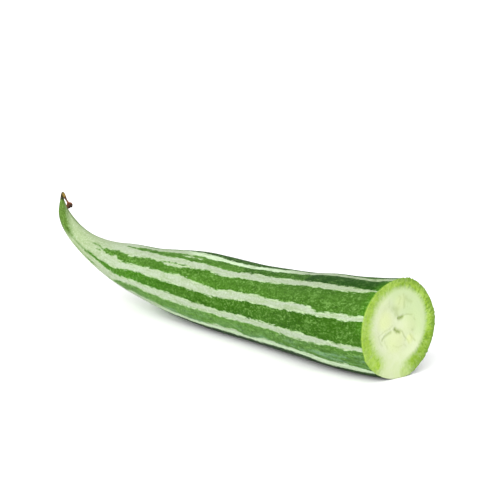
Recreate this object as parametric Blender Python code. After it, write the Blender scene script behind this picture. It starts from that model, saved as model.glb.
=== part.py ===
# A snake gourd, cut straight across near its thick end and lying on its side.
# The fruit narrows away from the cut and its tail curls up to the withered flower.
# Lengths are in metres. X points along the fruit towards the cut, and Z points up.

import math

import bmesh
import bpy
from mathutils import Matrix, Vector

# Driving dimensions of the fruit.
# A row is a place on the fruit's middle line: distance behind the cut, shift to the side,
# height, and the fruit's radius there. The first row lies ahead of the cut and is cut away.
FRUIT_ROWS = [
    (-0.014, 0.0022, 0.0275, 0.0280),
    (0.000, 0.0000, 0.0268, 0.0273),
    (0.012, -0.0030, 0.0261, 0.0266),
    (0.028, -0.0055, 0.0255, 0.0260),
    (0.045, -0.0055, 0.0249, 0.0254),
    (0.065, -0.0041, 0.0235, 0.0240),
    (0.090, -0.0029, 0.0226, 0.0231),
    (0.115, -0.0021, 0.0220, 0.0225),
    (0.145, -0.0015, 0.0220, 0.0225),
    (0.168, -0.0011, 0.0221, 0.0217),
    (0.192, -0.0009, 0.0222, 0.0197),
    (0.217, -0.0009, 0.0229, 0.0167),
    (0.241, -0.0011, 0.0243, 0.0141),
    (0.263, -0.0014, 0.0263, 0.0106),
    (0.280, -0.0016, 0.0294, 0.0085),
    (0.293, -0.0018, 0.0334, 0.0070),
    (0.304, -0.0019, 0.0384, 0.0058),
    (0.312, -0.0020, 0.0446, 0.0050),
    (0.3162, -0.0021, 0.0505, 0.0038),
    (0.3180, -0.0022, 0.0560, 0.0022),
    (0.3185, -0.0023, 0.0588, 0.0014),
]
RINGS_PER_ROW = 4
LOBE_COUNT = 5
LOBE_DEPTH = 0.008          # share of the radius
PROFILE_POINTS = 40
SHARP_ANGLE = 40            # degrees between faces, above which an edge is left sharp
SKIN_COLOUR = (0.13, 0.28, 0.06)
SKIN_ROUGHNESS = 0.38

# Driving dimensions of the cut face
RIND_THICKNESS = 0.0050
FLESH_SINK = 0.0004
CORE_INSET = 0.0075
CORE_SINK = 0.0006
# A slit where the soft flesh parts: side shift, height, length, width, turn in degrees
SLITS = [
    (0.0040, 0.0326, 0.0100, 0.0016, 12),
    (0.0008, 0.0255, 0.0070, 0.0014, -50),
    (-0.0100, 0.0232, 0.0090, 0.0012, 40),
]
SLIT_DEPTH = 0.0016
SLIT_SIDES = 16
SLIT_RINGS = 8

# Driving dimensions of the withered flower
FLOWER_GAP = 0.0003
NECK_RADIUS = 0.0012
FOLD_RADIUS = 0.0009
THREAD_RADIUS = 0.0007
# Places along the dried tube above its root: distance behind the cut, and height
NECK_TOP = (0.3184, 0.0620)
FOLD = (0.3174, 0.0637)
THREAD_MIDDLE = (0.3134, 0.0592)
THREAD_END = (0.3102, 0.0566)
KNOB_CENTRE = (0.3098, 0.0558)
KNOB_RADIUS = 0.0021
KNOB_HEIGHT = 0.0026
KNOB_FOLDS = 5
KNOB_FOLD_DEPTH = 0.16      # share of the radius
KNOB_SIDES = 30
KNOB_RINGS = 12
TUBE_SIDES = 12
BALL_RINGS = 8
BALL_SWELL = 1.06           # a ball at a bend of the tube, against the tube's radius
DRY_COLOUR = (0.16, 0.09, 0.03)
DRY_ROUGHNESS = 0.7

# Points closer together than this are one point
CUT_MERGE = 0.000001
SEAM_MERGE = 0.00003


def make_material(name, colour, roughness):
    material = bpy.data.materials.new(name)
    material.use_nodes = True
    shader = material.node_tree.nodes["Principled BSDF"]
    shader.inputs["Base Color"].default_value = (*colour, 1.0)
    shader.inputs["Roughness"].default_value = roughness
    shader.inputs["Metallic"].default_value = 0.0
    return material


def new_collection(name):
    collection = bpy.data.collections.new(name)
    bpy.context.scene.collection.children.link(collection)
    return collection


def add_mesh(name, mesh, material, collection):
    part = bpy.data.objects.new(name, mesh)
    mesh.materials.clear()
    mesh.materials.append(material)
    mesh.shade_smooth()
    mesh.set_sharp_from_angle(angle=math.radians(SHARP_ANGLE))
    collection.objects.link(part)
    return part


def smooth_path(rows, steps):
    """Points and radii on a smooth curve through the rows, with the same steps in every span."""
    knots = [Vector((-back, side, height, radius)) for back, side, height, radius in rows]
    times = [0.0]
    for first, second in zip(knots, knots[1:]):
        times.append(times[-1] + (second.xyz - first.xyz).length)
    last = len(knots) - 1
    slopes = []
    for index in range(last + 1):
        before = max(index - 1, 0)
        after = min(index + 1, last)
        slopes.append((knots[after] - knots[before]) / (times[after] - times[before]))
    path = []
    for index in range(last):
        span = times[index + 1] - times[index]
        for step in range(steps):
            t = step / steps
            path.append(
                knots[index] * (2 * t**3 - 3 * t**2 + 1)
                + slopes[index] * span * (t**3 - 2 * t**2 + t)
                + knots[index + 1] * (3 * t**2 - 2 * t**3)
                + slopes[index + 1] * span * (t**3 - t**2)
            )
    path.append(knots[last])
    return path


def lobed_profile():
    """The fruit's cross-section, of radius 1, as a closed curve."""
    curve = bpy.data.curves.new("lobed_profile", "CURVE")
    spline = curve.splines.new("POLY")
    spline.points.add(PROFILE_POINTS - 1)
    for index, point in enumerate(spline.points):
        angle = math.tau * index / PROFILE_POINTS
        reach = 1 + LOBE_DEPTH * math.cos(LOBE_COUNT * angle)
        point.co = (reach * math.cos(angle), reach * math.sin(angle), 0, 1)
    spline.use_cyclic_u = True
    return bpy.data.objects.new("lobed_profile", curve)


def swept_mesh(name, path, profile):
    """Sweep the profile along the path, which carries a radius at each point."""
    curve = bpy.data.curves.new(name, "CURVE")
    curve.dimensions = "3D"
    curve.bevel_mode = "OBJECT"
    curve.bevel_object = profile
    curve.use_fill_caps = True
    spline = curve.splines.new("POLY")
    spline.points.add(len(path) - 1)
    for point, place in zip(spline.points, path):
        point.co = (*place.xyz, 1)
        point.radius = place.w
    swept = bpy.data.objects.new(name, curve)
    for guide in (swept, profile):
        bpy.context.scene.collection.objects.link(guide)
    bpy.context.view_layer.update()
    depsgraph = bpy.context.evaluated_depsgraph_get()
    mesh = bpy.data.meshes.new_from_object(swept.evaluated_get(depsgraph))
    for guide in (swept, profile):
        bpy.data.objects.remove(guide)
    return mesh


def close_cut(shape, point, normal):
    """Cut the shape flat, drop what lies beyond the normal, and return the new face."""
    geometry = shape.verts[:] + shape.edges[:] + shape.faces[:]
    result = bmesh.ops.bisect_plane(
        shape,
        geom=geometry,
        dist=CUT_MERGE,
        plane_co=point,
        plane_no=normal,
        clear_outer=True,
    )
    rim = [item for item in result["geom_cut"] if isinstance(item, bmesh.types.BMEdge)]
    return bmesh.ops.contextual_create(shape, geom=rim)["faces"][0]


def sink_face(shape, face, inset, depth):
    """Sink the middle of a round flat face behind a sloping rim, and return that middle."""
    middle = bmesh.ops.extrude_discrete_faces(shape, faces=[face])["faces"][0]
    centre = middle.calc_center_median()
    for corner in middle.verts:
        reach = (corner.co - centre).length
        corner.co = centre + (corner.co - centre) * (1 - inset / reach)
        corner.co.x -= depth
    return middle


def loose_piece(name, collection, build):
    """A mesh object made by one build function."""
    shape = bmesh.new()
    build(shape)
    mesh = bpy.data.meshes.new(name)
    shape.to_mesh(mesh)
    shape.free()
    piece = bpy.data.objects.new(name, mesh)
    collection.objects.link(piece)
    return piece


def add_slit(name, side, height, length, width, turn, gourd, cutters):
    """Press a narrow slit into the soft flesh of the cut face."""
    place = Matrix.Translation((-FLESH_SINK - CORE_SINK, side, height))
    turned = Matrix.Rotation(math.radians(turn), 4, "X")
    size = Matrix.Diagonal((2 * SLIT_DEPTH, length, width, 1))

    def build(shape):
        bmesh.ops.create_uvsphere(
            shape,
            u_segments=SLIT_SIDES,
            v_segments=SLIT_RINGS,
            radius=0.5,
            matrix=place @ turned @ size,
        )

    cutter = loose_piece(name, cutters, build)
    cutter.hide_render = True
    cutter.display_type = "WIRE"
    cut = gourd.modifiers.new(name, "BOOLEAN")
    cut.operation = "DIFFERENCE"
    cut.solver = "EXACT"
    cut.object = cutter
    return cutter


def make_gourd(collection, cutters):
    """The fruit: one body of rind and flesh, cut flat at +X and resting on a narrow flat."""
    path = smooth_path(FRUIT_ROWS, RINGS_PER_ROW)
    mesh = swept_mesh("gourd", path, lobed_profile())
    shape = bmesh.new()
    shape.from_mesh(mesh)
    bmesh.ops.remove_doubles(shape, verts=shape.verts, dist=CUT_MERGE)
    close_cut(shape, (0, 0, 0), (0, 0, -1))
    cut_face = close_cut(shape, (0, 0, 0), (1, 0, 0))
    flesh = sink_face(shape, cut_face, RIND_THICKNESS, FLESH_SINK)
    sink_face(shape, flesh, CORE_INSET, CORE_SINK)
    bmesh.ops.recalc_face_normals(shape, faces=shape.faces)
    shape.to_mesh(mesh)
    shape.free()
    skin = make_material("gourd_skin", SKIN_COLOUR, SKIN_ROUGHNESS)
    gourd = add_mesh("gourd", mesh, skin, collection)
    slits = [add_slit(f"slit_{n}", *row, gourd, cutters) for n, row in enumerate(SLITS, 1)]
    return gourd, slits


def add_rod(shape, start, end, start_radius, end_radius):
    """A tapering round rod between two places."""
    along = end - start
    turn = along.to_track_quat("Z", "Y").to_matrix().to_4x4()
    middle = Matrix.Translation((start + end) / 2)
    bmesh.ops.create_cone(
        shape,
        cap_ends=True,
        segments=TUBE_SIDES,
        radius1=start_radius,
        radius2=end_radius,
        depth=along.length,
        matrix=middle @ turn,
    )


def add_ball(shape, centre, radius):
    bmesh.ops.create_uvsphere(
        shape,
        u_segments=TUBE_SIDES,
        v_segments=BALL_RINGS,
        radius=radius * BALL_SWELL,
        matrix=Matrix.Translation(centre),
    )


def add_knob(shape, centre):
    """The shrivelled petals: a squat ball drawn in along upright folds."""
    made = bmesh.ops.create_uvsphere(
        shape, u_segments=KNOB_SIDES, v_segments=KNOB_RINGS, radius=1
    )
    for corner in made["verts"]:
        angle = math.atan2(corner.co.y, corner.co.x)
        around = math.hypot(corner.co.x, corner.co.y)
        reach = KNOB_RADIUS * (1 + KNOB_FOLD_DEPTH * around * math.cos(KNOB_FOLDS * angle))
        corner.co.x *= reach
        corner.co.y *= reach
        corner.co.z *= KNOB_HEIGHT / 2
        corner.co += centre


def fused_mesh(builds, cutters):
    """One body from several overlapping ones, each made by a build function."""
    first = loose_piece("flower_root", cutters, builds[0])
    others = new_collection("flower_pieces")
    for number, build in enumerate(builds[1:], 1):
        loose_piece(f"flower_piece_{number}", others, build)
    join = first.modifiers.new("join", "BOOLEAN")
    join.operation = "UNION"
    join.solver = "EXACT"
    join.operand_type = "COLLECTION"
    join.collection = others
    bpy.context.view_layer.update()
    depsgraph = bpy.context.evaluated_depsgraph_get()
    mesh = bpy.data.meshes.new_from_object(first.evaluated_get(depsgraph))
    for piece in [first, *others.objects]:
        bpy.data.objects.remove(piece)
    bpy.data.collections.remove(others)
    shape = bmesh.new()
    shape.from_mesh(mesh)
    bmesh.ops.remove_doubles(shape, verts=shape.verts, dist=SEAM_MERGE)
    bmesh.ops.triangulate(shape, faces=shape.faces)
    shape.to_mesh(mesh)
    shape.free()
    return mesh


def make_flower(collection, cutters):
    """The dried tube of the flower, folded over, with its shrivelled petals in a knob."""
    tip_back, side, tip_height, _ = FRUIT_ROWS[-1]
    root = Vector((-tip_back, side, tip_height + FLOWER_GAP))
    neck_top, fold, middle, end, knob = (
        Vector((-back, side, height))
        for back, height in (NECK_TOP, FOLD, THREAD_MIDDLE, THREAD_END, KNOB_CENTRE)
    )
    mesh = fused_mesh(
        [
            lambda shape: add_rod(shape, root, neck_top, NECK_RADIUS, FOLD_RADIUS),
            lambda shape: add_rod(shape, neck_top, fold, FOLD_RADIUS, FOLD_RADIUS),
            lambda shape: add_rod(shape, fold, middle, FOLD_RADIUS, THREAD_RADIUS),
            lambda shape: add_rod(shape, middle, end, THREAD_RADIUS, THREAD_RADIUS),
            lambda shape: add_ball(shape, neck_top, FOLD_RADIUS),
            lambda shape: add_ball(shape, fold, FOLD_RADIUS),
            lambda shape: add_ball(shape, middle, THREAD_RADIUS),
            lambda shape: add_knob(shape, knob),
        ],
        cutters,
    )
    dry = make_material("dry_flower", DRY_COLOUR, DRY_ROUGHNESS)
    return add_mesh("withered_flower", mesh, dry, collection)


def stand_on_origin(parts, cutters):
    """Move everything so that the middle of the model's underside is the origin."""
    bpy.context.view_layer.update()
    depsgraph = bpy.context.evaluated_depsgraph_get()
    corners = []
    for part in parts:
        mesh = part.evaluated_get(depsgraph).to_mesh()
        corners += [corner.co.copy() for corner in mesh.vertices]
    low = Vector([min(corner[axis] for corner in corners) for axis in range(3)])
    high = Vector([max(corner[axis] for corner in corners) for axis in range(3)])
    middle = (low + high) / 2
    for part in parts + cutters:
        part.data.transform(Matrix.Translation((-middle.x, -middle.y, -low.z)))


def main():
    for old in list(bpy.data.objects):
        bpy.data.objects.remove(old)
    collection = new_collection("snake_gourd")
    cutters = new_collection("cutters")
    gourd, slits = make_gourd(collection, cutters)
    flower = make_flower(collection, cutters)
    stand_on_origin([gourd, flower], slits)


main()
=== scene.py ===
# A snake gourd, cut straight across near its thick end and lying on its side.
# Lengths are in metres unless a name says otherwise. X points along the fruit towards the
# cut, and Z points up.

import math

import bmesh
import bpy
from mathutils import Matrix, Vector, kdtree, noise


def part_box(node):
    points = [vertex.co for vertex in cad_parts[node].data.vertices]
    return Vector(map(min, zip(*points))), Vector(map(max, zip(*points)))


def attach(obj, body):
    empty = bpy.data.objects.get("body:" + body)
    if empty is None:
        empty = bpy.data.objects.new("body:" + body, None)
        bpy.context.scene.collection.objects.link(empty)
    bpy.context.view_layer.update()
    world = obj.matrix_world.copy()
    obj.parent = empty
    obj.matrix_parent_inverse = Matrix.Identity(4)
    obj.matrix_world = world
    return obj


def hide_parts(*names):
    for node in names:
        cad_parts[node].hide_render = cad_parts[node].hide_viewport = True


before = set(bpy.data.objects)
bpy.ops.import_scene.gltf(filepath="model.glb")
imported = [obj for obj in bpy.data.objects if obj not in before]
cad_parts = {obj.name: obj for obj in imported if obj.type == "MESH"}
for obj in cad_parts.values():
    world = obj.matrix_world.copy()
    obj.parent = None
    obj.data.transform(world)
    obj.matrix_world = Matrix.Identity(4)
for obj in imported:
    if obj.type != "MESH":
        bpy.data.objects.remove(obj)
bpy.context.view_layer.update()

MM = 0.001


# The fruit
# A long tapering gourd with a curled tail, firm green skin over pale watery flesh.
# It grew in one piece and was sliced across with a knife, which left the flesh bare.

# A row is a place on the fruit's middle line: distance behind the cut, shift to the side,
# height, and the fruit's radius there. The first row lies ahead of the cut.
FRUIT_ROWS = [
    (-0.014, 0.0022, 0.0275, 0.0280),
    (0.000, 0.0000, 0.0268, 0.0273),
    (0.012, -0.0030, 0.0260, 0.02665),
    (0.028, -0.0055, 0.0253, 0.02600),
    (0.045, -0.0055, 0.0247, 0.02545),
    (0.065, -0.0041, 0.0233, 0.02415),
    (0.090, -0.0029, 0.0224, 0.02325),
    (0.115, -0.0021, 0.0218, 0.02265),
    (0.145, -0.0015, 0.0219, 0.02265),
    (0.168, -0.0011, 0.0222, 0.02205),
    (0.192, -0.0009, 0.0220, 0.02010),
    (0.217, -0.0009, 0.0225, 0.0172),
    (0.241, -0.0011, 0.0243, 0.0149),
    (0.263, -0.0014, 0.0263, 0.0115),
    (0.280, -0.0016, 0.0295, 0.0089),
    (0.293, -0.0018, 0.0334, 0.0072),
    (0.304, -0.0020, 0.0384, 0.0061),
    (0.312, -0.0025, 0.0446, 0.0051),
    (0.3162, -0.0029, 0.0505, 0.0038),
    (0.31795, -0.0028, 0.0560, 0.00225),
    (0.3185, -0.0027, 0.0588, 0.0014),
]
CUT_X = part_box("gourd")[1].x
ROW_SIDE = 0.00159             # where the rows' zero shift lies across the frame
SIDES = 240
RING_GAP = 0.00115
RIB_COUNT = 5
RIB_DEPTH = 0.008              # share of the radius
RIB_TURN = math.radians(35.66)

# The green bands, each given by its tone, from -0.25 palest to 1.8 darkest, and places along
# the fruit: millimetres behind the cut, then the band's lower and upper edge in degrees
# above the fruit's near side.
BANDS = [
    # Along the crest, seen edge on
    [1.3, (0, 86, 118), (18, 87.5, 117), (27, 91, 121), (40, 94, 122), (80, 92, 124),
     (98, 86.5, 124), (112, 84.5, 120), (130, 82.5, 119), (150, 86, 122), (180, 89, 123),
     (215, 92, 121), (245, 101, 116), (280, 106, 112), (300, 108, 116), (325, 110, 120)],
    # High on the near side: it pales on the way to the tail, and splits for a while
    # Darkest by the cut: its own deep green, with painted shadow over it there, as of something
    # lying over the fruit
    [1.8, (0, 57, 79.5), (9, 58.5, 78), (15, 61, 78.5), (21, 62, 82), (27, 62, 84),
     (33, 63.5, 84.5), (45, 63.5, 84.5), (57, 63, 82.5)],
    [1.0, (57, 63, 82.5), (66, 64.5, 81.5), (78, 63, 79.5), (90, 62, 77), (99, 63.5, 76.3),
     (105, 61.5, 75.3), (111, 63, 74), (118, 59, 73)],
    [0.45, (118, 59, 73), (126, 58, 74), (150, 59.5, 74)],
    [0.45, (150, 59.5, 74), (157, 59, 67), (163, 58, 66), (170, 58, 66), (177, 60, 67),
     (184, 60.5, 75)],
    [0.45, (150, 59.5, 74), (157, 67.6, 74.5), (163, 68.2, 75.5), (170, 68.6, 72.5),
     (177, 69, 74.5), (184, 60.5, 75)],
    [0.45, (184, 60.5, 75), (196, 61.5, 76), (207, 66, 77), (217, 70.5, 79.5),
     (225, 70.5, 81.5), (234, 71, 77), (243, 74, 74)],
    # Below that
    [0.5, (0, 22, 54), (9, 22, 54), (16, 24.5, 53), (27, 23, 54), (33, 21.5, 53),
     (38, 26, 53), (45, 28.5, 53.5), (74, 27, 53), (81, 27.5, 51), (90, 29, 50),
     (99, 27.5, 49.5), (105, 27, 49), (113, 28, 50), (121, 25, 46.5), (127, 22, 45),
     (136, 24, 46.5), (141, 25, 49), (150, 25.5, 47), (161, 30, 44), (171, 28, 41.5),
     (180, 28, 41), (186, 29.5, 42.5), (192, 30, 46), (198, 30, 49), (208, 29.5, 51.5),
     (222, 29, 47.5), (228, 27.5, 45), (232, 27, 47), (237, 26, 47), (243, 35, 50.5),
     (249, 33, 48.5), (255, 32, 48.5), (259, 36, 51), (263, 43, 46), (270, 50, 53),
     (276, 50, 56), (280, 48, 49)],
    # The dark one across the middle of the near side
    [0.95, (0, -13, 16), (12, -12, 16), (24, -11, 18), (30, -8.5, 17), (48, -8, 17.5),
     (72, -6.5, 16.5), (104, -5.5, 16.5), (111, -5.5, 14.5), (122, -7, 12), (136, -5.5, 11.5),
     (152, -5, 12), (178, -3, 14), (192, -3, 16), (203, -4.5, 15), (213, -3, 15.5),
     (224, -5.5, 13.8), (232, -8, 10.5), (240, -8, 6), (250, -8, 6), (256, -4, 7.2),
     (262, -2, 8), (268, 0, 11.5), (275, 1, 13.5), (281, 1, 10.5), (287, 4, 9), (296, 7, 8.2)],
    # Low on the near side, soft and pale
    [-0.25, (0, -48, -19), (6, -45, -18.5), (12, -42, -18), (18, -40.5, -17.5),
     (27, -40.5, -16.5), (33, -39, -17.5), (42, -35.5, -17.5), (64, -36, -16.5),
     (75, -33.5, -14.5), (83, -33.5, -15), (90, -37, -15), (99, -40, -15), (105, -39.5, -16),
     (111, -31.5, -15), (120, -35.5, -16.5), (130, -33.5, -15.5), (144, -39.5, -15),
     (153, -39.5, -16), (176, -39, -16.5), (186, -37, -16.5), (195, -33.5, -16.5),
     (202, -34, -17), (207, -38, -16), (216, -33, -15.5), (225, -35.5, -19), (231, -43, -21),
     (237, -38.5, -24), (244, -39, -32), (252, -38, -36)],
    # Right underneath, then rising to the near side on the tail
    [1.6, (0, -88, -54), (9, -86, -54), (15, -85, -53.5), (21, -84, -52), (27, -83, -52),
     (33, -83, -52.5), (39, -82, -50), (45, -81, -45.5), (64, -81, -44), (75, -81, -45.5),
     (90, -81, -47), (99, -81, -47.5), (111, -81, -46.5), (130, -80, -46.5), (141, -80, -47.5),
     (153, -80, -48), (166, -80, -49.5), (180, -80, -50)],
    [0.5, (180, -80, -50), (205, -77, -51.5), (232, -70, -56), (256, -66, -56), (270, -62, -53),
     (280, -58, -50), (290, -54, -46.5), (300, -49, -42), (310, -42, -37)],
    # Round the far side
    [0.5, (0, -108, -84), (30, -110, -83), (70, -107, -84), (110, -111, -86), (160, -108, -85),
     (200, -107, -88), (222, -103, -92), (240, -99, -96), (258, -98, -98)],
    [0.75, (0, -148, -121), (26, -145, -119), (64, -149, -121), (102, -146, -120),
     (150, -148, -124), (190, -145, -125), (214, -143, -128), (236, -140, -133),
     (262, -138, -136), (274, -137, -137)],
    [0.3, (0, -186, -160), (34, -184, -158), (80, -187, -161), (126, -183, -160),
     (166, -185, -163), (206, -183, -166), (230, -180, -171), (246, -176, -176)],
    [0.6, (0, -224, -197), (28, -222, -195), (66, -225, -198), (112, -221, -196),
     (158, -223, -199), (196, -222, -202), (226, -219, -206), (248, -216, -211),
     (270, -214, -214)],
    # Green islets that split the pale stripe beside them, and fine threads
    [0.9, (5, 83, 83), (8, 82, 84.5), (14, 82.5, 84), (17, 83, 83)],
    [0.9, (9, 60, 60), (11, 59, 62), (17, 59.5, 62), (20, 61, 61)],
    [0.3, (266, -23, -22), (274, -27, -20), (284, -26, -21), (296, -21, -20)],
    [0.3, (262, 36, 36), (266, 35, 37), (271, 35.5, 36)],
    [0.5, (160, 47, 47), (166, 46.2, 47.4), (175, 46, 47.2), (184, 47, 48.4), (192, 48, 49)],
]
# The green end of the tail: where it starts on its near middle, that middle's angle, how
# much later it starts for each degree away from there and at most, how fast its edge comes
# in, and its tone.
TIP_START_MM = 300
TIP_MIDDLE = 13
TIP_LAG_MM = 0.32
TIP_LAG_MOST_MM = 26
TIP_SLOPE = 0.17
TIP_TONE = 0.3
FAR_FROM_GREEN_MM = 40.0       # the most that a distance from the green is given as


def smooth_path(rows, gap):
    """Points and radii on a smooth curve through the rows, about a gap apart."""
    knots = [Vector((-back, side, height, radius)) for back, side, height, radius in rows]
    times = [0.0]
    for first, second in zip(knots, knots[1:]):
        times.append(times[-1] + (second.xyz - first.xyz).length)
    last = len(knots) - 1
    slopes = []
    for index in range(last + 1):
        before = max(index - 1, 0)
        after = min(index + 1, last)
        slopes.append((knots[after] - knots[before]) / (times[after] - times[before]))
    path = []
    for index in range(last):
        span = times[index + 1] - times[index]
        steps = math.ceil(span / gap)
        for step in range(steps):
            t = step / steps
            path.append(
                knots[index] * (2 * t**3 - 3 * t**2 + 1)
                + slopes[index] * span * (t**3 - 2 * t**2 + t)
                + knots[index + 1] * (3 * t**2 - 2 * t**3)
                + slopes[index + 1] * span * (t**3 - t**2)
            )
    path.append(knots[last])
    return path


def blend_steps(low, high, value):
    """0 below low, 1 above high, and an even S between them."""
    share = min(max((value - low) / (high - low), 0.0), 1.0)
    return share * share * (3 - 2 * share)


def along_table(table, place):
    """The values of a table of rows, led by its first column, at a place between rows."""
    for first, second in zip(table, table[1:]):
        if place <= second[0]:
            share = max((place - first[0]) / (second[0] - first[0]), 0.0)
            return [a + (b - a) * share for a, b in zip(first[1:], second[1:])]
    return list(table[-1][1:])


def turn_apart(first, second):
    """Degrees between two angles, the short way round."""
    return abs((first - second + 180) % 360 - 180)


def band_values(edges, tip_lead, angle, radius_mm):
    """Millimetres from the nearest green edge, above 0 on pale skin and below 0 on green,
    and the tone of the nearest band."""
    deepest, tone = -FAR_FROM_GREEN_MM, TIP_TONE
    for low, high, band_tone in edges:
        apart = turn_apart(angle, (low + high) / 2)
        depth = ((high - low) / 2 - apart) * math.pi / 180 * radius_mm
        if depth > deepest:
            deepest, tone = depth, band_tone
    lag = min(turn_apart(angle, TIP_MIDDLE) * TIP_LAG_MM, TIP_LAG_MOST_MM)
    tip_depth = (tip_lead - lag) * TIP_SLOPE
    if tip_depth > deepest:
        deepest, tone = tip_depth, TIP_TONE
    return -deepest, tone


def ribbed(angle):
    """The reach of the fruit's softly ribbed section, as a share of its radius."""
    return 1 + RIB_DEPTH * math.cos(RIB_COUNT * (angle - RIB_TURN))


fruit_path = smooth_path(FRUIT_ROWS, RING_GAP)
fruit_path = [point for point in fruit_path if point.x <= 0.0]
lengths = [0.0]
for first, second in zip(fruit_path, fruit_path[1:]):
    lengths.append(lengths[-1] + (second.xyz - first.xyz).length)

# The cut face. Places on it, and lengths across it, are in millimetres, to the side and in
# height from the same zero as in FRUIT_ROWS.
FACE_RINGS = 62
FACE_CENTRE = (0.0, 26.8)
FACE_RADIUS = 27.3
FACE_LAST = 0.994              # share of the radius at the last ring, just inside the rim
EDGE_ROUND = 0.00025           # in metres, how far the rim is rounded back
EDGE_START = 0.985             # share of the radius from which it rounds off
FIBRE_RADIUS = 0.020           # in metres, the distance from the middle whose fan they keep
FIBRE_SHARE = 0.65             # how long the fibres are drawn out, 1 for not at all
FLESH_CENTRE = (0.4, 28.7)
FLESH_RADIUS = 19.6
FLESH_EDGE = (-7.0, 1.0)       # how far inside its outline the flesh starts and ends to sink
FLESH_SINK = 0.0004            # in metres, as its roughness and the core's sink are
FLESH_ROUGH = 0.00005
FLESH_WAVES = 1.1              # of the roughness, for each millimetre
CORE_RADIUS = 12.5
CORE_EDGE = 6.0
CORE_SINK = 0.0006
# The rind ends between these distances inside the flesh's outline, with more on the left
RIND_EDGE = (-3.0, 1.4)
RIND_EDGE_LEFT = (-1.6, 2.2)
RIND_GAP = (224, 250, 268, 302)  # degrees where it thins out, is gone, starts again and is whole
RIND_GAP_SHARE = 0.92
# Seams where the soft flesh parts: half width, depth, darkness, and places along it
SEAMS = [
    (1.05, 0.60, 0.92, [(0.8, 32.4), (2.2, 32.3), (3.8, 32.7)]),
    (0.55, 0.25, 0.45, [(0.4, 34.4), (1.2, 33.0)]),
    (0.40, 0.12, 0.35, [(4.2, 33.3), (7.0, 33.7), (10.6, 33.0)]),
    (1.00, 0.60, 0.92, [(-1.8, 26.9), (-0.2, 25.4), (1.6, 24.8)]),
    (0.50, 0.12, 0.40, [(1.6, 24.8), (3.4, 25.0), (5.4, 21.8), (7.4, 19.8)]),
    (0.55, 0.12, 0.30, [(9.6, 22.4), (11.2, 20.2), (13.4, 18.6)]),
    (0.50, 0.10, 0.22, [(5.6, 19.6), (7.6, 19.8), (8.8, 17.8)]),
    (0.80, 0.25, 0.46, [(-4.8, 25.6), (-7.0, 24.8), (-9.2, 23.8), (-11.0, 22.2)]),
    (0.45, 0.08, 0.22, [(-3.6, 29.0), (-5.2, 27.8), (-9.4, 26.6), (-13.4, 24.6)]),
    (0.50, 0.08, 0.22, [(-13.6, 24.2), (-12.6, 21.0), (-10.8, 19.0)]),
    (0.50, 0.08, 0.18, [(-9.4, 21.6), (-8.4, 19.4), (-6.6, 17.0)]),
    (1.10, 0.08, 0.26, [(4.8, 43.4), (7.0, 41.4), (9.6, 40.2)]),
    (0.70, 0.06, 0.24, [(3.4, 45.2), (4.4, 42.0), (4.9, 37.6)]),
    (0.60, 0.06, 0.22, [(0.2, 44.6), (1.6, 43.4), (0.4, 40.2)]),
    (0.50, 0.05, 0.20, [(-6.8, 43.4), (-6.0, 38.6)]),
    (1.90, 0.15, 0.40, [(-3.2, 38.0), (-0.8, 37.2), (-0.9, 35.2)]),
    (0.80, 0.10, 0.34, [(11.2, 24.8), (11.6, 24.6)]),
    (0.45, 0.05, 0.20, [(12.0, 31.0), (13.6, 29.6)]),
    (0.55, 0.05, 0.22, [(5.0, 17.6), (6.8, 16.2)]),
    (0.50, 0.05, 0.16, [(-3.0, 18.0), (0.6, 16.6), (3.6, 17.2)]),
]
SEAM_WANDER = 0.35             # how far a seam strays from its line
SEAM_WAVES = 0.9               # of its straying, for each millimetre
SEAM_LAYER = 20                # sets the noise of seams of other widths apart
# Soft swollen lobes in the core: side, height, radius and how yellow they are
LOBES = [
    (-9.4, 31.8, 6.4, 0.70),
    (-1.0, 20.0, 7.8, 0.50),
    (9.0, 28.4, 6.4, 0.25),
    (1.6, 41.0, 5.0, 0.45),
    (9.4, 20.2, 3.2, 0.80),
]
LOBE_FADE = (0.3, 1.25)        # shares of its radius between which a lobe's colour fades
LOBE_RISE = 0.00035            # in metres, its swelling, which ends at this share
LOBE_REACH = 1.2
# Patches of greener rind: side, height, radius, strength and how fresh they are
RIND_PATCHES = [(-15.0, 8.8, 2.9, 1.0, 1.0), (5.0, 2.6, 4.2, 0.6, 0.3)]
PATCH_FADE = (0.45, 1.25)


def distance_to_line(side, height, line):
    """How far a place on the face lies from a bent line."""
    nearest = math.inf
    for (y1, z1), (y2, z2) in zip(line, line[1:]):
        run, rise = y2 - y1, z2 - z1
        share = ((side - y1) * run + (height - z1) * rise) / (run * run + rise * rise)
        share = min(max(share, 0.0), 1.0)
        nearest = min(nearest, math.hypot(side - y1 - run * share, height - z1 - rise * share))
    return nearest


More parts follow.
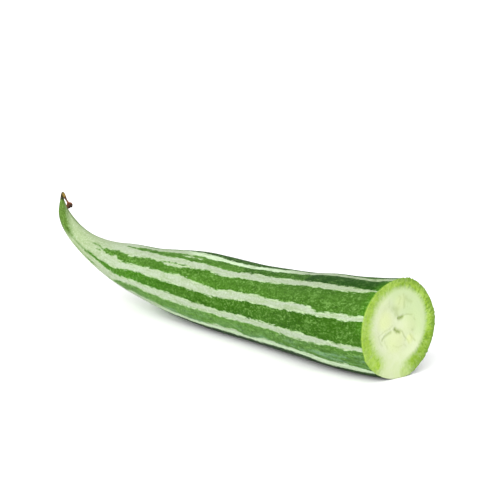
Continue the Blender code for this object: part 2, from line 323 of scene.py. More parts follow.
def face_values(side, height):
    """The cut face at a place: its sink, its rind, its seams and its yellow lobes."""
    from_flesh = math.hypot(side - FLESH_CENTRE[0], height - FLESH_CENTRE[1])
    reach = FLESH_RADIUS - from_flesh
    turn = math.degrees(math.atan2(height - FACE_CENTRE[1], side - FACE_CENTRE[0])) % 360
    left = blend_steps(0.0, 0.8, -math.cos(math.radians(turn)))
    low, high = (edge + more * left for edge, more in zip(RIND_EDGE, RIND_EDGE_LEFT))
    gap = blend_steps(*RIND_GAP[:2], turn) * (1 - blend_steps(*RIND_GAP[2:], turn))
    rind = (1 - blend_steps(low, high, reach)) * (1 - RIND_GAP_SHARE * gap)
    lobe = 0.0
    swell = 0.0
    for y, z, size, strength, fresh in RIND_PATCHES:
        apart = math.hypot(side - y, height - z) / size
        near = strength * (1 - blend_steps(*PATCH_FADE, apart))
        rind = max(rind, near)
        lobe = max(lobe, fresh * near)
    for y, z, size, strength in LOBES:
        apart = math.hypot(side - y, height - z) / size
        lobe = max(lobe, strength * (1 - blend_steps(*LOBE_FADE, apart)))
        swell = max(swell, 1 - blend_steps(0.0, LOBE_REACH, apart))
    seam = 0.0
    groove = 0.0
    for half_width, depth, darkness, line in SEAMS:
        spot = Vector((side * SEAM_WAVES, height * SEAM_WAVES, half_width * SEAM_LAYER))
        wander = SEAM_WANDER * noise.noise(spot)
        apart = (distance_to_line(side, height, line) + wander) / half_width
        near = math.exp(-max(apart, 0.0) ** 2)
        seam = max(seam, darkness * near)
        groove = max(groove, depth * near)
    from_middle = math.hypot(side - FACE_CENTRE[0], height - FACE_CENTRE[1])
    sink = FLESH_SINK * blend_steps(*FLESH_EDGE, reach)
    sink += CORE_SINK * (1 - blend_steps(CORE_RADIUS, CORE_RADIUS + CORE_EDGE, from_middle))
    sink += groove * MM - LOBE_RISE * swell
    sink += FLESH_ROUGH * noise.noise(Vector((side * FLESH_WAVES, height * FLESH_WAVES, 3.0)))
    return max(sink, 0.0), rind, seam, lobe


def rings_of_grid(shape, turn_layer, sides, count):
    """Make a grid, and return its rows of corners as rings round the piece, each corner with
    its turn. The last corner of a ring is to be welded to the first."""
    made = bmesh.ops.create_grid(shape, x_segments=sides, y_segments=count - 1, size=1)
    rings = [[None] * (sides + 1) for number in range(count)]
    for corner in made["verts"]:
        column = round((corner.co.x + 1) / 2 * sides)
        rings[round((corner.co.y + 1) / 2 * (count - 1))][column] = corner
        corner[turn_layer] = 2 * math.pi * column / sides
    return rings


def weld_rings(shape, rings):
    """Close the grid into a tube, and its first and last rings into points."""
    ends = [rings[0][0].co.copy(), rings[-1][0].co.copy()]
    bmesh.ops.weld_verts(shape, targetmap={ring[-1]: ring[0] for ring in rings})
    bmesh.ops.pointmerge(shape, verts=rings[0][:-1], merge_co=ends[0])
    bmesh.ops.pointmerge(shape, verts=rings[-1][:-1], merge_co=ends[1])


def finish_mesh(shape, name):
    """Turn a bmesh into a mesh."""
    mesh = bpy.data.meshes.new(name)
    shape.to_mesh(mesh)
    shape.free()
    return mesh


def add_object(name, data):
    """Put a mesh, a lamp or the camera into the scene."""
    thing = bpy.data.objects.new(name, data)
    bpy.context.scene.collection.objects.link(thing)
    return thing


shape = bmesh.new()
turn_layer = shape.verts.layers.float.new("turn")
place_layer = shape.verts.layers.float_vector.new("body_place")
reach_layer = shape.verts.layers.float.new("pale_reach")
tone_layer = shape.verts.layers.float.new("band_tone")
rind_layer = shape.verts.layers.float.new("rind")
seam_layer = shape.verts.layers.float.new("seam")
lobe_layer = shape.verts.layers.float.new("lobe")

# The rim, which the knife left torn, most of all on the far side
TORN_REACH = 0.0016            # how far behind the cut the teeth still show
TORN_START = 0.92              # share of the radius from which they show on the face
TORN_LEAST = 0.00018           # how far the far side stands out between the teeth
TORN_OUT = 0.0125              # a tooth's height, for its noise squared
TORN_MOST = 0.00062
TORN_IN = 0.0002               # depth of the nicks
TORN_NEAR = 0.06               # share of the tearing on the near side
# Noise round the rim: coarse and fine waves, each with its strength and its own layer
TOOTH_WAVES = [(15, 1.0, 0.5), (32, 0.6, 3.5)]
TOOTH_START = 0.1              # what stands above this is a tooth


def torn_rim(angle):
    """How far the rind sticks out at the cut's rim."""
    tooth = 0.0
    for waves, strength, layer in TOOTH_WAVES:
        spot = Vector((math.cos(angle) * waves, math.sin(angle) * waves, layer))
        tooth += strength * noise.noise(spot)
    far_side = blend_steps(0.0, 0.5, -math.cos(angle))
    torn = TORN_LEAST * far_side
    torn += TORN_OUT * max(tooth - TOOTH_START, 0.0) ** 2 * (TORN_NEAR + (1 - TORN_NEAR) * far_side)
    return min(torn, TORN_MOST) + TORN_IN * min(tooth, 0.0)


def set_face_ring(ring, share):
    """Place a ring of the cut face, which lies flat across the fruit's end."""
    for corner in ring:
        angle = corner[turn_layer]
        radius = FACE_RADIUS * ribbed(angle) * share
        radius += torn_rim(angle) / MM * blend_steps(TORN_START, 1.0, share)
        side = FACE_CENTRE[0] - radius * math.cos(angle)
        height = max(FACE_CENTRE[1] + radius * math.sin(angle), 0.0)
        sink, rind, seam, lobe = face_values(side, height)
        sink = max(sink, EDGE_ROUND * blend_steps(EDGE_START, 1.0, share))
        corner.co = (CUT_X - sink, side * MM + ROW_SIDE, height * MM)
        corner[place_layer] = (
            radius * MM * FIBRE_SHARE,
            FIBRE_RADIUS * math.cos(angle),
            FIBRE_RADIUS * math.sin(angle),
        )
        corner[rind_layer] = rind
        corner[seam_layer] = seam
        corner[lobe_layer] = lobe


rings = rings_of_grid(shape, turn_layer, SIDES, FACE_RINGS + len(fruit_path) + 1)
for number in range(FACE_RINGS):
    set_face_ring(rings[number], min(number / (FACE_RINGS - 1), FACE_LAST))
cut_corners = {corner for ring in rings[:FACE_RINGS] for corner in ring}
cut_faces = {
    face for face in shape.faces if all(corner in cut_corners for corner in face.verts)
}

# The skin, which runs back from the rim to the end of the tail, with broad dents and fine
# ripples: waves for each metre along the fruit and across it
SKIN_DENT = 0.00022
DENT_WAVES = Vector((22, 60, 60))
SKIN_RIPPLE = 0.00010
RIPPLE_WAVES = Vector((120, 420, 420))
SLIM_RADIUS = 0.006            # where the fruit is slimmer, its relief is shallower
SQUARE_REACH = 0.035           # how far behind the cut the rings still lie parallel to it
END_RISE = 0.0005              # how far the tail's last point stands above its last ring
END_REACH_MM = -3.0            # how deep in the green that point lies


def skin_relief(place):
    """How far the skin lies under its even form."""
    broad = noise.noise(place * DENT_WAVES)
    fine = noise.noise(place * RIPPLE_WAVES)
    return SKIN_DENT * (0.5 + 0.5 * broad) + SKIN_RIPPLE * (0.5 + 0.5 * fine)


def set_skin_ring(ring, point, forward, length):
    """Place a ring of the skin round a point of the middle line."""
    near = Vector((0, -1, 0))
    near = (near - forward * near.dot(forward)).normalized()
    upward = near.cross(forward)
    back_mm = length / MM
    edges = [
        (*along_table(places, back_mm), tone)
        for tone, *places in BANDS
        if places[0][0] <= back_mm <= places[-1][0]
    ]
    centre = Vector((CUT_X + point.x, point.y + ROW_SIDE, point.z))
    for corner in ring:
        angle = corner[turn_layer]
        even = Vector((length, point.w * math.cos(angle), point.w * math.sin(angle)))
        radius = point.w * ribbed(angle) - skin_relief(even) * min(point.w / SLIM_RADIUS, 1)
        if length < TORN_REACH:
            radius += torn_rim(angle) * (1 - length / TORN_REACH)
        corner.co = centre + near * radius * math.cos(angle) + upward * radius * math.sin(angle)
        corner.co.z = max(corner.co.z, 0.0)
        corner.co.x = min(corner.co.x, CUT_X)
        corner[place_layer] = even
        corner[reach_layer], corner[tone_layer] = band_values(
            edges, back_mm - TIP_START_MM, math.degrees(angle), point.w / MM
        )


for number, (point, length) in enumerate(zip(fruit_path, lengths)):
    ahead = fruit_path[max(number - 1, 0)].xyz
    behind = fruit_path[min(number + 1, len(fruit_path) - 1)].xyz
    square = 1 - blend_steps(0.0, SQUARE_REACH, length)
    forward = Vector((1, 0, 0)) * square + (ahead - behind).normalized() * (1 - square)
    point.x = min(point.x, -EDGE_ROUND)
    set_skin_ring(rings[FACE_RINGS + number], point, forward.normalized(), length)
tail_end = fruit_path[-1]
for corner in rings[-1]:
    corner.co = (CUT_X + tail_end.x, tail_end.y + ROW_SIDE, tail_end.z + END_RISE)
    corner[reach_layer] = END_REACH_MM
    corner[place_layer] = (lengths[-1] + tail_end.w, 0, 0)
weld_rings(shape, rings)
for face in shape.faces:
    face.smooth = True
    face.material_index = 1 if face in cut_faces else 0
bmesh.ops.recalc_face_normals(shape, faces=shape.faces)
fruit_mesh = finish_mesh(shape, "fruit")
fruit = add_object("fruit", fruit_mesh)

STUDIO_LIFT = 0.92             # paint is this share of its look, which the strong lamps lift


def paint(red, green, blue):
    """A colour given as a screen's 0 to 255 values, as Blender wants it."""
    linear = []
    for value in (red, green, blue):
        share = value / 255 * STUDIO_LIFT
        linear.append(share / 12.92 if share <= 0.04045 else ((share + 0.055) / 1.055) ** 2.4)
    return (*linear, 1.0)


def add_node(tree, kind, inputs=None, **settings):
    """Add a node, with its settings, and feed its inputs with values or other outputs."""
    node = tree.nodes.new(kind)
    for name, value in settings.items():
        setattr(node, name, value)
    for name, value in (inputs or {}).items():
        if isinstance(value, bpy.types.NodeSocket):
            tree.links.new(value, node.inputs[name])
        else:
            node.inputs[name].default_value = value
    return node


def math_node(tree, operation, *values, clamp=False):
    """Reckon with values or outputs."""
    inputs = dict(enumerate(values))
    node = add_node(tree, "ShaderNodeMath", inputs, operation=operation, use_clamp=clamp)
    return node.outputs[0]


def times_node(tree, first, second):
    """One value or mask times another."""
    return math_node(tree, "MULTIPLY", first, second)


def map_node(tree, value, low, high, to_low=0.0, to_high=1.0, smooth=True):
    """Turn the range low to high into to_low to to_high, flat outside it."""
    node = add_node(
        tree,
        "ShaderNodeMapRange",
        {0: value, 1: low, 2: high, 3: to_low, 4: to_high},
        interpolation_type="SMOOTHSTEP" if smooth else "LINEAR",
    )
    return node.outputs[0]


def mix_node(tree, factor, first, second):
    """The first colour, and as much of the second as the factor says."""
    node = add_node(tree, "ShaderNodeMix", {0: factor, 6: first, 7: second}, data_type="RGBA")
    return node.outputs[2]


def divide_node(tree, place, size):
    """A place counted in steps of this size on each axis."""
    inputs = {0: place, 1: size}
    return add_node(tree, "ShaderNodeVectorMath", inputs, operation="DIVIDE").outputs[0]


def attribute_node(tree, name):
    """What the mesh stores at each corner under this name."""
    return add_node(tree, "ShaderNodeAttribute", attribute_name=name)


def make_grain_group():
    """Cloudy noise whose grain has a size in metres on each axis. Every material of the gourd
    uses it, for patches, cells, fibres or pores."""
    tree = bpy.data.node_groups.new("grain", "ShaderNodeTree")
    for name, kind in (
        ("Place", "NodeSocketVector"),
        ("Size", "NodeSocketVector"),
        ("Detail", "NodeSocketFloat"),
        ("Roughness", "NodeSocketFloat"),
    ):
        tree.interface.new_socket(name=name, in_out="INPUT", socket_type=kind)
    tree.interface.new_socket(name="Grain", in_out="OUTPUT", socket_type="NodeSocketFloat")
    given = tree.nodes.new("NodeGroupInput").outputs
    result = tree.nodes.new("NodeGroupOutput").inputs
    detail, roughness = given["Detail"], given["Roughness"]
    place = divide_node(tree, given["Place"], given["Size"])
    inputs = {"Vector": place, "Scale": 1.0, "Detail": detail, "Roughness": roughness}
    cloudy = add_node(tree, "ShaderNodeTexNoise", inputs)
    tree.links.new(cloudy.outputs[0], result["Grain"])
    return tree


grain_group = make_grain_group()


def grain_node(tree, place, size, detail, roughness):
    """The grain group in a material, with its own size, detail and roughness."""
    inputs = {"Place": place, "Size": size, "Detail": detail, "Roughness": roughness}
    return add_node(tree, "ShaderNodeGroup", inputs, node_tree=grain_group).outputs[0]


def new_material(name, roughness, specular):
    """A plain material, with its node tree and its shader."""
    material = bpy.data.materials.new(name)
    material.use_nodes = True
    shader = material.node_tree.nodes["Principled BSDF"]
    shader.inputs["Roughness"].default_value = roughness
    shader.inputs["Specular IOR Level"].default_value = specular
    return material, material.node_tree, shader


def add_bump(tree, shader, height, distance):
    """Raise the surface by a pattern, by this distance at most."""
    bump = add_node(tree, "ShaderNodeBump", {"Height": height, "Distance": distance})
    tree.links.new(bump.outputs["Normal"], shader.inputs["Normal"])


# Skin colours
GREEN_DARK = paint(22, 66, 0)
GREEN_DEEP = paint(46, 91, 5)
GREEN_SOFT = paint(80, 126, 42)
GREEN_PALE = paint(92, 132, 68)
GREEN_UNDER_SHADE = paint(6, 44, 0)
GREEN_CUT = paint(56, 94, 27)
GREEN_FRESH = paint(62, 122, 10)
GREEN_TAIL = paint(86, 117, 46)
GREEN_BLOOM_SHEEN = paint(128, 166, 130)
PALE_BODY = paint(163, 176, 151)
PALE_WIDE = paint(168, 182, 155)
PALE_EDGE = paint(172, 200, 146)
PALE_PAINTED_LIGHT = paint(201, 223, 187)
PALE_TAIL = paint(156, 174, 131)
PALE_GREEN = paint(136, 158, 108)
PALE_SPECK = paint(196, 212, 184)
FLECK_PALE = paint(140, 184, 100)
FLECK_DARK = paint(32, 62, 10)
RIM_GREEN = paint(132, 168, 62)

# Grain of the skin's patterns, in metres along the fruit and across it
STEP_GRAIN = (0.0055, 0.0013, 0.0013)
FRINGE_GRAIN = (0.0030, 0.0010, 0.0010)
PATCH_GRAIN = (0.030, 0.006, 0.006)
BLOOM_SHEEN_GRAIN = (0.018, 0.004, 0.004)
CELL_GRAIN = (0.0016, 0.0010, 0.0010)
CROWD_GRAIN = (0.014, 0.005, 0.005)
MOTTLE_GRAIN = (0.0042, 0.0022, 0.0022)
VEIL_GRAIN = (0.012, 0.0016, 0.0016)
FRECKLE_GRAIN = (0.0022, 0.0008, 0.0008)
PORE_GRAIN = (0.0011, 0.0007, 0.0007)
PORE_DEPTH = 0.00012

# Metres behind the cut between which the skin changes
RIM_GLOW = (0.0, 0.0011)
FRESH_BY_CUT = (0.001, 0.007)
DULL_BY_CUT = (0.01, 0.13)
VIVID_FROM = (0.15, 0.22)
UNDER_SHADE_UNTIL = (0.17, 0.21)
FRINGE_CALM_FROM = (0.25, 0.30)
EDGE_SOFT_FROM = (0.255, 0.31)
GREEN_TAIL_FROM = (0.28, 0.315)
STRIPE_SHADOW_BY_CUT = (0.07, 0.02)
STRIPE_LIT_FROM = (0.06, 0.10)
STRIPE_WIDE_FROM = (0.13, 0.21)
STRIPE_TAIL_FROM = (0.235, 0.295)

# Metres above the fruit's middle line between which it changes, and how far round it
FRESH_HEIGHTS = (-0.004, 0.008)
BLOOM_SHEEN_HEIGHTS = (-0.008, -0.012)
STRIPE_LIT_LOW = (-0.0125, -0.0155)
STRIPE_SHADOW_HEIGHTS = (0.018, 0.021)
STRIPE_LIT_HIGH = (0.0206, 0.0220)
UNDER_SHADE_TURN = (-0.69, -0.74)    # sine of the angle above the near side

skin, tree, shader = new_material("striped_skin", 0.42, 0.02)
body_place = attribute_node(tree, "body_place").outputs["Vector"]
reach = attribute_node(tree, "pale_reach").outputs["Fac"]
band_tone = attribute_node(tree, "band_tone").outputs["Fac"]
back, _, rise = add_node(tree, "ShaderNodeSeparateXYZ", {0: body_place}).outputs

# The edges of the bands are torn into steps along the fruit, with a fine fringe
steps = add_node(
    tree,
    "ShaderNodeTexVoronoi",
    {"Vector": divide_node(tree, body_place, STEP_GRAIN), "Scale": 1.0},
)
steps = add_node(tree, "ShaderNodeSeparateColor", {0: steps.outputs["Color"]}).outputs[0]
steps = map_node(tree, steps, 0.0, 1.0, -0.5, 0.5, smooth=False)
fringe = grain_node(tree, body_place, FRINGE_GRAIN, 2.5, 0.6)
fringe = map_node(tree, fringe, 0.2, 0.8, -0.75, 0.75, smooth=False)
fringe = math_node(tree, "ADD", steps, fringe)
fringe = times_node(tree, fringe, map_node(tree, back, *FRINGE_CALM_FROM, 1.0, 0.4))
torn = math_node(tree, "ADD", reach, fringe)
softness = map_node(tree, back, *EDGE_SOFT_FROM, 0.35, 1.3)
pale = math_node(tree, "DIVIDE", torn, softness)
pale = math_node(tree, "MULTIPLY_ADD", pale, 0.5, 0.5, clamp=True)

# Green: each band has its tone, in patches drawn out along the fruit
patches = grain_node(tree, body_place, PATCH_GRAIN, 3.0, 0.6)
patches = map_node(tree, patches, 0.2, 0.8, -0.45, 0.45, smooth=False)
deep = math_node(tree, "ADD", band_tone, patches)
green = mix_node(tree, map_node(tree, deep, 0.0, 1.0, smooth=False), GREEN_SOFT, GREEN_DEEP)
green = mix_node(tree, map_node(tree, deep, 1.0, 1.6, smooth=False), green, GREEN_DARK)
green = mix_node(tree, map_node(tree, deep, 0.0, -0.6, smooth=False), green, GREEN_PALE)

# It is duller by the cut, fresh right at its edge, and vivid towards the tail
near_cut = map_node(tree, back, *DULL_BY_CUT, 0.52, 0.0)
near_cut = times_node(tree, near_cut, map_node(tree, deep, 1.3, 0.8))
green = mix_node(tree, near_cut, green, GREEN_CUT)
fresh = map_node(tree, back, *FRESH_BY_CUT, 0.5, 0.0)
fresh = times_node(tree, fresh, map_node(tree, rise, *FRESH_HEIGHTS))
green = mix_node(tree, fresh, green, GREEN_FRESH)
vivid = map_node(tree, back, *VIVID_FROM, 0.0, 0.55)
vivid = times_node(tree, map_node(tree, deep, 0.5, 0.9), vivid)
green = mix_node(tree, vivid, green, GREEN_FRESH)

# A grey bloom, partly painted floor reflection, low on the near side; painted shade underneath
bloom_and_sheen = grain_node(tree, body_place, BLOOM_SHEEN_GRAIN, 2.0, 0.6)
bloom_and_sheen = map_node(tree, bloom_and_sheen, 0.46, 0.70, 0.0, 0.6)
bloom_and_sheen = times_node(tree, bloom_and_sheen, map_node(tree, rise, *BLOOM_SHEEN_HEIGHTS))
green = mix_node(tree, bloom_and_sheen, green, GREEN_BLOOM_SHEEN)
around = {0: body_place, 1: (0.0, 1.0, 1.0)}
around = add_node(tree, "ShaderNodeVectorMath", around, operation="MULTIPLY").outputs[0]
around = add_node(tree, "ShaderNodeVectorMath", {0: around}, operation="NORMALIZE").outputs[0]
turn_sine = add_node(tree, "ShaderNodeSeparateXYZ", {0: around}).outputs[2]
# Painted shade: the underside in a deeper green than its band, up to the tail
under_shade = map_node(tree, back, *UNDER_SHADE_UNTIL, 1.0, 0.0)
under_shade = times_node(tree, map_node(tree, turn_sine, *UNDER_SHADE_TURN), under_shade)
green = mix_node(tree, under_shade, green, GREEN_UNDER_SHADE)
green = mix_node(tree, map_node(tree, back, *GREEN_TAIL_FROM), green, GREEN_TAIL)

# Pale and dark cells, here crowded and there few, and a coarser mottle. Both are calmer in
# the darkest bands.
cells = grain_node(tree, body_place, CELL_GRAIN, 2.0, 0.75)
crowded = grain_node(tree, body_place, CROWD_GRAIN, 2.0, 0.5)
crowded = map_node(tree, crowded, 0.35, 0.65, 0.20, 0.52)
calm = map_node(tree, band_tone, 1.2, 1.8, 1.0, 0.6)
crowded = times_node(tree, crowded, calm)
pale_cells = times_node(tree, map_node(tree, cells, 0.50, 0.72), crowded)
green = mix_node(tree, pale_cells, green, FLECK_PALE)
mottle = grain_node(tree, body_place, MOTTLE_GRAIN, 3.0, 0.6)
pale_mottle = times_node(tree, map_node(tree, mottle, 0.52, 0.72, 0.0, 0.30), calm)
green = mix_node(tree, pale_mottle, green, FLECK_PALE)
green = mix_node(tree, map_node(tree, mottle, 0.48, 0.28, 0.0, 0.40), green, FLECK_DARK)
green = mix_node(tree, map_node(tree, cells, 0.50, 0.30, 0.0, 0.40), green, FLECK_DARK)

# Pale: nearly white stripes, greener at their edges and on the tail, with painted light low down
# and high up, and painted shadow on top by the cut
stripe = mix_node(tree, map_node(tree, back, *STRIPE_WIDE_FROM), PALE_BODY, PALE_WIDE)
stripe = mix_node(tree, map_node(tree, reach, 0.9, 0.2, 0.0, 0.7), stripe, PALE_EDGE)
# Painted light low down, as of light thrown up off the floor
stripe = mix_node(tree, map_node(tree, rise, *STRIPE_LIT_LOW), stripe, PALE_PAINTED_LIGHT)
# Painted light on top, away from the cut
painted_light_top = map_node(tree, back, *STRIPE_LIT_FROM)
painted_light_top = times_node(tree, map_node(tree, rise, *STRIPE_LIT_HIGH), painted_light_top)
stripe = mix_node(tree, painted_light_top, stripe, PALE_PAINTED_LIGHT)
# Painted shadow on top by the cut, as of something lying over the fruit there
painted_shadow_top = map_node(tree, back, *STRIPE_SHADOW_BY_CUT, 0.0, 0.25)
painted_shadow_top = times_node(tree, map_node(tree, rise, *STRIPE_SHADOW_HEIGHTS), painted_shadow_top)
stripe = mix_node(tree, painted_shadow_top, stripe, PALE_GREEN)
stripe = mix_node(tree, map_node(tree, back, *STRIPE_TAIL_FROM), stripe, PALE_TAIL)

# They have a thin green veil, cells like the green's, and freckles near their edges
veil = grain_node(tree, body_place, VEIL_GRAIN, 3.0, 0.6)
stripe = mix_node(tree, map_node(tree, veil, 0.45, 0.70, 0.0, 0.6), stripe, PALE_GREEN)
stripe = mix_node(tree, map_node(tree, cells, 0.50, 0.26, 0.0, 0.55), stripe, PALE_GREEN)
stripe = mix_node(tree, map_node(tree, cells, 0.50, 0.74, 0.0, 0.55), stripe, PALE_SPECK)
freckles = grain_node(tree, body_place, FRECKLE_GRAIN, 2.5, 0.6)
freckles = map_node(tree, freckles, 0.64, 0.72)
freckles = times_node(tree, freckles, map_node(tree, reach, 0.0, 2.6, 0.6, 0.08))
stripe = mix_node(tree, freckles, stripe, GREEN_SOFT)

skin_tone = mix_node(tree, pale, green, stripe)
skin_tone = mix_node(tree, map_node(tree, back, *RIM_GLOW, 0.75, 0.0), skin_tone, RIM_GREEN)
tree.links.new(skin_tone, shader.inputs["Base Color"])
pores = grain_node(tree, body_place, PORE_GRAIN, 3.0, 0.6)
tree.links.new(map_node(tree, pores, 0.3, 0.7, 0.34, 0.5), shader.inputs["Roughness"])
raised = times_node(tree, pale, 0.3)
add_bump(tree, shader, math_node(tree, "ADD", pores, raised), PORE_DEPTH)
fruit_mesh.materials.append(skin)

# Cut flesh colours
RIND_FRESH = paint(136, 172, 38)
RIND_BRIGHT = paint(156, 192, 44)
RIND_LIGHT = paint(160, 192, 80)
RIND_DARK = paint(104, 142, 32)
RIND_OUTER = paint(92, 126, 30)
FLESH_WHITE = paint(206, 215, 178)
FLESH_SHADE = paint(188, 206, 154)
FLESH_CORE = paint(201, 212, 168)
FLESH_LOBE = paint(208, 218, 158)
SEAM_GREEN = paint(138, 156, 88)

# Grain of the flesh's patterns, in metres. Those of the rind lie fanned out round the face.
CLOUD_GRAIN = (0.006, 0.006, 0.006)
PULP_GRAIN = (0.0009, 0.0009, 0.0009)
PULP_DEPTH = 0.00015
FIBRE_GRAIN = (0.0014, 0.0012, 0.0012)
RAGGED_GRAIN = (0.0020, 0.0014, 0.0014)

# Metres between which the flesh and the rind change, over the face and from its middle
SHADE_FROM = (0.030, 0.046)
OUTER_RIM = (0.0236, 0.0274)
FAR_LEAN = 0.3                 # how much a place's height adds to its lying on the far side
FAR_FROM = (0.006, 0.026)
LOW_SIDE = (0.008, 0.016)
LOW_HEIGHTS = (0.026, 0.012)

flesh, tree, shader = new_material("cut_flesh", 0.45, 0.15)
face_place = add_node(tree, "ShaderNodeTexCoord").outputs["Object"]
fan_place = attribute_node(tree, "body_place").outputs["Vector"]
rind = attribute_node(tree, "rind").outputs["Fac"]
seam = attribute_node(tree, "seam").outputs["Fac"]
lobe = attribute_node(tree, "lobe").outputs["Fac"]
side, height = add_node(tree, "ShaderNodeSeparateXYZ", {0: face_place}).outputs[1:]
from_middle = add_node(tree, "ShaderNodeSeparateXYZ", {0: fan_place}).outputs[0]

# The flesh is cloudy, shaded towards the upper far side, with yellow lobes and green seams
cloud = grain_node(tree, face_place, CLOUD_GRAIN, 3.0, 0.6)
core = mix_node(tree, map_node(tree, cloud, 0.35, 0.65), FLESH_WHITE, FLESH_CORE)
lean = math_node(tree, "ADD", side, height)
core = mix_node(tree, map_node(tree, lean, *SHADE_FROM, 0.0, 0.9), core, FLESH_SHADE)
core = mix_node(tree, lobe, core, FLESH_LOBE)
core = mix_node(tree, seam, core, SEAM_GREEN)

# The rind is lighter on the near side, and darkest on the far side at its outer edge and
# low down, with fine fibres
rind_tone = mix_node(tree, map_node(tree, cloud, 0.38, 0.62), RIND_FRESH, RIND_LIGHT)
rind_tone = mix_node(tree, lobe, rind_tone, RIND_BRIGHT)
far = math_node(tree, "ADD", side, times_node(tree, height, FAR_LEAN))
far = map_node(tree, far, *FAR_FROM)
rind_tone = mix_node(tree, map_node(tree, far, 0.3, 0.0, 0.0, 0.4), rind_tone, RIND_LIGHT)
outer = map_node(tree, from_middle, *(limit * FIBRE_SHARE for limit in OUTER_RIM))
outer = times_node(tree, outer, map_node(tree, far, 0, 1, 0.1, 0.75))
rind_tone = mix_node(tree, outer, rind_tone, RIND_OUTER)
fibres = grain_node(tree, fan_place, FIBRE_GRAIN, 2.5, 0.7)
fibre_light = map_node(tree, far, 0, 1, 0.35, 0.6)
fibre_light = times_node(tree, map_node(tree, fibres, 0.52, 0.68), fibre_light)
rind_tone = mix_node(tree, fibre_light, rind_tone, RIND_LIGHT)
fibre_dark = map_node(tree, far, 0, 1, 0.40, 0.9)
fibre_dark = times_node(tree, map_node(tree, fibres, 0.52, 0.38), fibre_dark)
rind_tone = mix_node(tree, fibre_dark, rind_tone, RIND_DARK)
low_right = map_node(tree, height, *LOW_HEIGHTS, 0.0, 0.40)
low_right = times_node(tree, map_node(tree, side, *LOW_SIDE), low_right)
rind_tone = mix_node(tree, low_right, rind_tone, RIND_DARK)

# Where they meet, the rind's inner edge is ragged
ragged = grain_node(tree, fan_place, RAGGED_GRAIN, 3.0, 0.6)
ragged = map_node(tree, ragged, 0.2, 0.8, -0.30, 0.30, smooth=False)
ragged = times_node(tree, ragged, map_node(tree, rind, 0.0, 0.35))
rind_share = math_node(tree, "ADD", rind, ragged, clamp=True)
tree.links.new(mix_node(tree, rind_share, core, rind_tone), shader.inputs["Base Color"])
pulp = grain_node(tree, face_place, PULP_GRAIN, 3.0, 0.6)
tree.links.new(map_node(tree, pulp, 0.3, 0.7, 0.36, 0.56), shader.inputs["Roughness"])
shader.inputs["Subsurface Weight"].default_value = 0.15
shader.inputs["Subsurface Radius"].default_value = (0.9, 1.0, 0.6)
shader.inputs["Subsurface Scale"].default_value = 0.002
add_bump(tree, shader, pulp, PULP_DEPTH)
fruit_mesh.materials.append(flesh)

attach(fruit, "root")
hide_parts("gourd")


# The withered flower
# The dried tube of the blossom still hangs on the end of the tail, folded over, with its
# shrivelled petals in a knob. It grew there, so it is joined to the fruit's tip.

# Places along the tube: distance behind the cut, height and radius
FLOWER_ROWS = [
    (0.31850, 0.0575, 0.00120),
    (0.31845, 0.0592, 0.00132),
    (0.31850, 0.0606, 0.00115),
    (0.31835, 0.0622, 0.00095),
    (0.31780, 0.0633, 0.00088),
    (0.31700, 0.0631, 0.00095),
    (0.31560, 0.0616, 0.00090),
    (0.31400, 0.0598, 0.00068),
    (0.31260, 0.0585, 0.00056),
    (0.31140, 0.0576, 0.00066),
    (0.31085, 0.0571, 0.00140),
    (0.31000, 0.0562, 0.00172),
    (0.30915, 0.0553, 0.00150),
    (0.30850, 0.0547, 0.00095),
]
FLOWER_SIDE = -0.0027
FLOWER_SIDES = 48
FLOWER_GAP = 0.00016
PETALS_FROM = (0.0125, 0.0140)  # metres along the tube between which the petals begin
FOLD_COUNT = 3
FOLD_TWIST = 340.0             # turn of the folds in radians for each metre
CRUMPLE_WAVES = 1500           # for each metre along the tube
# Depth of the folds and the crumples, as shares of the radius: in the tube, and how much
# more in the petals
FOLD_DEPTH = (0.10, 0.32)
CRUMPLE_DEPTH = (0.10, 0.30)
VOXEL = 0.00014
SOFTEN_TIMES = 2

shape = bmesh.new()
turn_layer = shape.verts.layers.float.new("turn")
flower_rows = [(back, FLOWER_SIDE, height, radius) for back, height, radius in FLOWER_ROWS]
flower_path = smooth_path(flower_rows, FLOWER_GAP)
flower_last = len(flower_path) - 1
rings = rings_of_grid(shape, turn_layer, FLOWER_SIDES, len(flower_path))
across = Vector((0, 1, 0))
run = 0.0
for number, point in enumerate(flower_path):
    before = flower_path[max(number - 1, 0)]
    after = flower_path[min(number + 1, flower_last)]
    forward = (after.xyz - before.xyz).normalized()
    run += (point.xyz - before.xyz).length
    upward = forward.cross(across).normalized()
    centre = Vector((CUT_X + point.x, point.y + ROW_SIDE, point.z))
    petal = blend_steps(*PETALS_FROM, run)
    fold_depth = FOLD_DEPTH[0] + FOLD_DEPTH[1] * petal
    crumple_depth = CRUMPLE_DEPTH[0] + CRUMPLE_DEPTH[1] * petal
    open_share = min(number, flower_last - number, 1)
    for corner in rings[number]:
        angle = corner[turn_layer]
        fold = math.cos(FOLD_COUNT * angle + FOLD_TWIST * run)
        spot = Vector((run * CRUMPLE_WAVES, math.cos(angle) * 2, math.sin(angle) * 2))
        radius = point.w * (1 + fold_depth * fold + crumple_depth * noise.noise(spot))
        radius *= open_share
        corner.co = centre + across * radius * math.cos(angle)
        corner.co += upward * radius * math.sin(angle)
weld_rings(shape, rings)
bmesh.ops.recalc_face_normals(shape, faces=shape.faces)
flower = add_object("withered_flower_fine", finish_mesh(shape, "flower_rough"))

# Where the tube folds back through itself, its walls are fused, and then softened
remesh = flower.modifiers.new("fuse", "REMESH")
remesh.mode = "VOXEL"
remesh.voxel_size = VOXEL
soften = flower.modifiers.new("soften", "SMOOTH")
soften.factor = 0.5
soften.iterations = SOFTEN_TIMES
bpy.context.view_layer.update()
depsgraph = bpy.context.evaluated_depsgraph_get()
flower_mesh = bpy.data.meshes.new_from_object(flower.evaluated_get(depsgraph))
flower.modifiers.clear()
flower.data = flower_mesh
flower_mesh.shade_smooth()

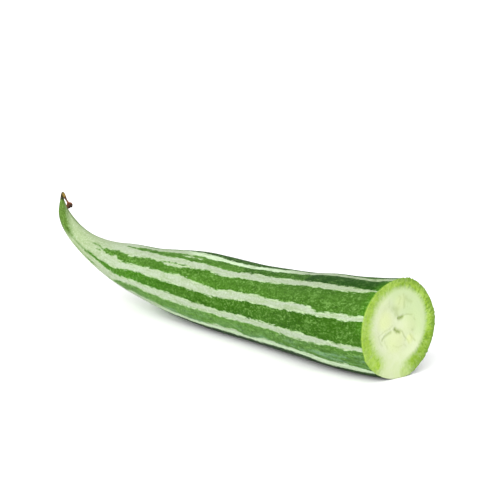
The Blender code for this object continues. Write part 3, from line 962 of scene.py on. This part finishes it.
# How far along the tube each place lies, from 0 at the root to 1 at the petals' ends
tube = kdtree.KDTree(len(flower_path))
for number, point in enumerate(flower_path):
    tube.insert((CUT_X + point.x, point.y + ROW_SIDE, point.z), number)
tube.balance()
wither_layer = flower_mesh.attributes.new("wither", "FLOAT", "POINT")
for corner, stored in zip(flower_mesh.vertices, wither_layer.data):
    stored.value = tube.find(corner.co)[1] / flower_last

# Colours along the tube, from green at its root through the bleached bend to brown petals
DRY_TONES = [
    (0.00, paint(92, 120, 44)),
    (0.10, paint(58, 66, 24)),
    (0.24, paint(60, 56, 20)),
    (0.34, paint(88, 80, 28)),
    (0.46, paint(150, 120, 36)),
    (0.56, paint(70, 42, 16)),
    (0.70, paint(96, 52, 18)),
    (0.80, paint(164, 84, 26)),
    (0.90, paint(86, 52, 22)),
    (1.00, paint(40, 22, 12)),
]
CREASE_DARK = paint(34, 22, 12)
CREASE_GRAIN = (0.0006, 0.0006, 0.0006)
DRY_GRAIN = (0.0003, 0.0003, 0.0006)
DRY_DEPTH = 0.00015

dry, tree, shader = new_material("dry_flower_fine", 0.7, 0.25)
flower_place = add_node(tree, "ShaderNodeTexCoord").outputs["Object"]
wither = attribute_node(tree, "wither").outputs["Fac"]
ramp = add_node(tree, "ShaderNodeValToRGB", {0: wither})
stops = ramp.color_ramp.elements
while len(stops) < len(DRY_TONES):
    stops.new(0.5)
for stop, (position, tone) in zip(stops, DRY_TONES):
    stop.position = position
    stop.color = tone
creases = grain_node(tree, flower_place, CREASE_GRAIN, 2.5, 0.6)
creases = map_node(tree, creases, 0.45, 0.62, 0.0, 0.6)
dry_tone = mix_node(tree, creases, ramp.outputs[0], CREASE_DARK)
tree.links.new(dry_tone, shader.inputs["Base Color"])
dry_grain = grain_node(tree, flower_place, DRY_GRAIN, 3.0, 0.6)
tree.links.new(map_node(tree, dry_grain, 0.3, 0.7, 0.55, 0.85), shader.inputs["Roughness"])
add_bump(tree, shader, dry_grain, DRY_DEPTH)
flower_mesh.materials.clear()
flower_mesh.materials.append(dry)

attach(flower, "root")
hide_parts("withered_flower")


# The floor
# A plain pale studio table that fills the picture. It is no part of the gourd.
FLOOR_HALF = 12.0
FLOOR_DROP = 0.00015           # so that the fruit's flat underside keeps clear of it
FLOOR_PALE = (0.95, 0.95, 0.955, 1.0)

shape = bmesh.new()
floor_place = Matrix.Translation((0, 0, -FLOOR_DROP))
bmesh.ops.create_grid(shape, x_segments=1, y_segments=1, size=FLOOR_HALF, matrix=floor_place)
floor_mesh = finish_mesh(shape, "floor")
floor = add_object("floor", floor_mesh)
pale_floor, tree, shader = new_material("pale_floor", 0.9, 0.1)
shader.inputs["Base Color"].default_value = FLOOR_PALE
floor_mesh.materials.append(pale_floor)


# The light
# A pale surround, a very broad soft lamp overhead, and a narrower, stronger one from the
# front, which is still soft.
SURROUND = 0.45
# A lamp: strength, spread in degrees, and the place it shines from
LAMPS = {
    "overhead": (1.8, 140, (0.0, 0.0, 1.0)),
    "front": (3.45, 50, (0.55, -1.0, 0.57)),
}

world = bpy.data.worlds.new("studio")
bpy.context.scene.world = world
world.use_nodes = True
surround = world.node_tree.nodes["Background"]
surround.inputs["Color"].default_value = (1.0, 1.0, 1.0, 1.0)
surround.inputs["Strength"].default_value = SURROUND
for name, (strength, spread, source) in LAMPS.items():
    lamp_data = bpy.data.lights.new(name, "SUN")
    lamp_data.energy = strength
    lamp_data.angle = math.radians(spread)
    lamp = add_object(name, lamp_data)
    lamp.location = source
    lamp.rotation_euler = (-Vector(source)).to_track_quat("-Z", "Y").to_euler()


# The camera
# It looks down a little on the cut face and along the fruit to its tail.
CAMERA_PLACE = (0.74433, -0.58578, 0.22216)
CAMERA_TURN = (79.5, 0.0, 50.3)
LENS = 115.2
SENSOR = 36.0
SIGHT = (0.01, 50.0)           # the nearest and farthest that it sees

camera_data = bpy.data.cameras.new("camera")
camera_data.lens = LENS
camera_data.sensor_width = SENSOR
camera_data.clip_start, camera_data.clip_end = SIGHT
camera = add_object("camera", camera_data)
camera.location = CAMERA_PLACE
camera.rotation_euler = [math.radians(turn) for turn in CAMERA_TURN]
bpy.context.scene.camera = camera
bpy.context.scene.view_settings.view_transform = "Standard"
